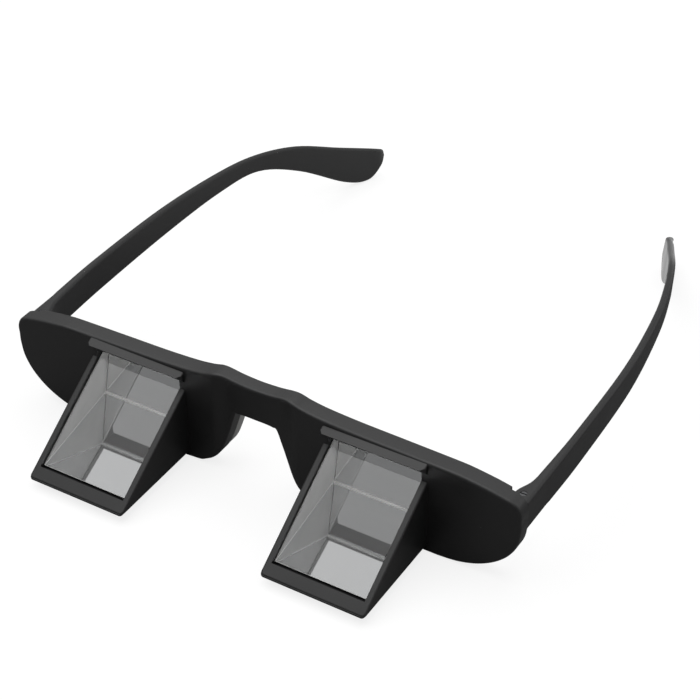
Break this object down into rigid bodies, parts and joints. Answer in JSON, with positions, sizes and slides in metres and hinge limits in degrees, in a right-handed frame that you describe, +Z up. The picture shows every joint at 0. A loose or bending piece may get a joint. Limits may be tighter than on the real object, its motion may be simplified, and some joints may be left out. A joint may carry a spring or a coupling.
{
  "type": "belay glasses",
  "caption": "Prism glasses for looking up without tilting the head: a dark front with hooded wedge prisms and folding temples.",
  "frame": {"origin": "on the ground, below the middle of the whole part", "axes": "+Z up, -Y the way the glasses face (away from the wearer's eyes), +X to the side of the temple named right"},
  "size_m": [0.1446, 0.1682, 0.0298],
  "materials": {
    "frame_plastic": "satin black",
    "temple_plastic": "satin black",
    "prism_glass": "polished",
    "mirror_coat": "silvered",
    "soft_bed": "matt foam",
    "pad_rubber": "soft grey",
    "dark_steel": "blackened",
    "bright_steel": "turned"
  },
  "bodies": {
    "front": {"front_frame": "frame_plastic", "prism_left": "prism_glass", "prism_right": "prism_glass", "prism_mirror_left": "mirror_coat", "prism_mirror_right": "mirror_coat", "prism_bed_left": "soft_bed", "prism_bed_right": "soft_bed", "eye_bezel_left": "frame_plastic", "eye_bezel_right": "frame_plastic", "bezel_screws": "dark_steel", "nose_pad_left": "pad_rubber", "nose_pad_right": "pad_rubber"},
    "left_temple": {"temple_left": "temple_plastic", "hinge_screw_left": "dark_steel", "hinge_nut_left": "bright_steel"},
    "right_temple": {"temple_right": "temple_plastic", "hinge_screw_right": "dark_steel", "hinge_nut_right": "bright_steel"}
  },
  "joints": [
    {"name": "temple_fold_left", "type": "hinge", "parent": "front", "child": "left_temple", "pos_m": [-0.0695, -0.04891, 0.0187], "axis": [0, 0, -1], "range_deg": [0, 80]},
    {"name": "temple_fold_right", "type": "hinge", "parent": "front", "child": "right_temple", "pos_m": [0.0695, -0.04891, 0.0187], "axis": [0, 0, 1], "range_deg": [0, 62]}
  ]
}
